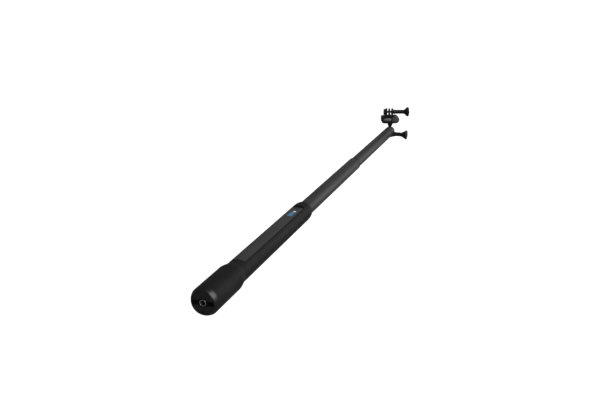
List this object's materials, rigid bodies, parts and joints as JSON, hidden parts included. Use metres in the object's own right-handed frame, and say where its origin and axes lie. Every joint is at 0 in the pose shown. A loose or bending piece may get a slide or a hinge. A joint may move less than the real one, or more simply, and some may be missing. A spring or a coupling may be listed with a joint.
{
  "type": "telescoping extension pole",
  "caption": "Telescoping extension pole with a bulbous grip, twist-locked tubes, a ball joint and a three-finger camera mount.",
  "frame": {"origin": "centre of the base's flat end face, at the mouth of its tripod thread", "axes": "+Y along the pole towards the camera head, +Z out of the flat on top of the grip, +X towards the thumb screws"},
  "size_m": [0.065, 0.9413, 0.0692],
  "materials": {
    "soft_black": "soft-touch moulded",
    "gloss_black": "polished",
    "inlay_grey": "satin",
    "anodised_tube": "satin black anodised",
    "nylon_black": "semi-gloss glass-filled nylon",
    "seal_black": "matt",
    "acetal_white": "satin",
    "steel": "satin",
    "emblem_blue": "printed"
  },
  "bodies": {
    "handle": {"handle_tube": "anodised_tube", "grip_shell": "soft_black", "end_cap": "gloss_black", "base_plug": "nylon_black", "plug_seal": "seal_black", "tripod_insert": "steel", "grip_inlay": "inlay_grey", "emblem": "emblem_blue", "collar_bush": "nylon_black", "collar_wiper": "seal_black"},
    "lower_lock": {"lower_expander": "acetal_white"},
    "lower_section": {"lower_cam_plug": "nylon_black", "lower_lock_washer": "steel", "lower_lock_screw": "steel", "lower_tube": "anodised_tube", "lower_collar": "nylon_black"},
    "upper_lock": {"upper_expander": "acetal_white"},
    "upper_section": {"upper_cam_plug": "nylon_black", "upper_lock_washer": "steel", "upper_lock_screw": "steel", "upper_tube": "anodised_tube", "head_clamp": "nylon_black", "clamp_nut": "steel"},
    "clamp_screw": {"clamp_knob": "nylon_black", "clamp_bolt": "steel"},
    "tilt_stud": {"ball_stud": "nylon_black", "swivel_washer": "steel", "swivel_screw": "steel"},
    "swivel_head": {"swivel_block": "nylon_black", "camera_mount": "nylon_black", "camera_nut": "steel"},
    "swivel_lock": {"lock_dial": "nylon_black", "dial_shaft": "steel"},
    "camera_screw": {"camera_knob": "nylon_black", "camera_bolt": "steel"}
  },
  "joints": [
    {"name": "lower_slide", "type": "slide", "parent": "handle", "child": "lower_lock", "axis": [0, 1, 0], "range_m": [-0.281, 0]},
    {"name": "lower_twist", "type": "hinge", "parent": "lower_lock", "child": "lower_section", "pos_m": [0, 0.315, 0], "axis": [0, 1, 0], "range_deg": [-90, 0]},
    {"name": "upper_slide", "type": "slide", "parent": "lower_section", "child": "upper_lock", "axis": [0, 1, 0], "range_m": [-0.248, 0]},
    {"name": "upper_twist", "type": "hinge", "parent": "upper_lock", "child": "upper_section", "pos_m": [0, 0.603, 0], "axis": [0, 1, 0], "range_deg": [-90, 0]},
    {"name": "clamp_screw_turn", "type": "hinge", "parent": "upper_section", "child": "clamp_screw", "pos_m": [0, 0.895, 0], "axis": [1, 0, 0], "range_deg": [0, 360]},
    {"name": "head_tilt", "type": "hinge", "parent": "upper_section", "child": "tilt_stud", "pos_m": [0, 0.92, 0], "axis": [1, 0, 0], "range_deg": [-90, 0]},
    {"name": "head_swivel", "type": "hinge", "parent": "tilt_stud", "child": "swivel_head", "pos_m": [0, 0.92, 0], "axis": [0, 0, 1], "continuous": true},
    {"name": "swivel_lock_turn", "type": "hinge", "parent": "swivel_head", "child": "swivel_lock", "pos_m": [0.00983, 0.92339, 0.0265], "axis": [-0.3256, 0.9455, 0], "range_deg": [0, 90]},
    {"name": "camera_screw_turn", "type": "hinge", "parent": "swivel_head", "child": "camera_screw", "pos_m": [0, 0.92, 0.0418], "axis": [0.9455, 0.3256, 0], "range_deg": [0, 360]}
  ]
}
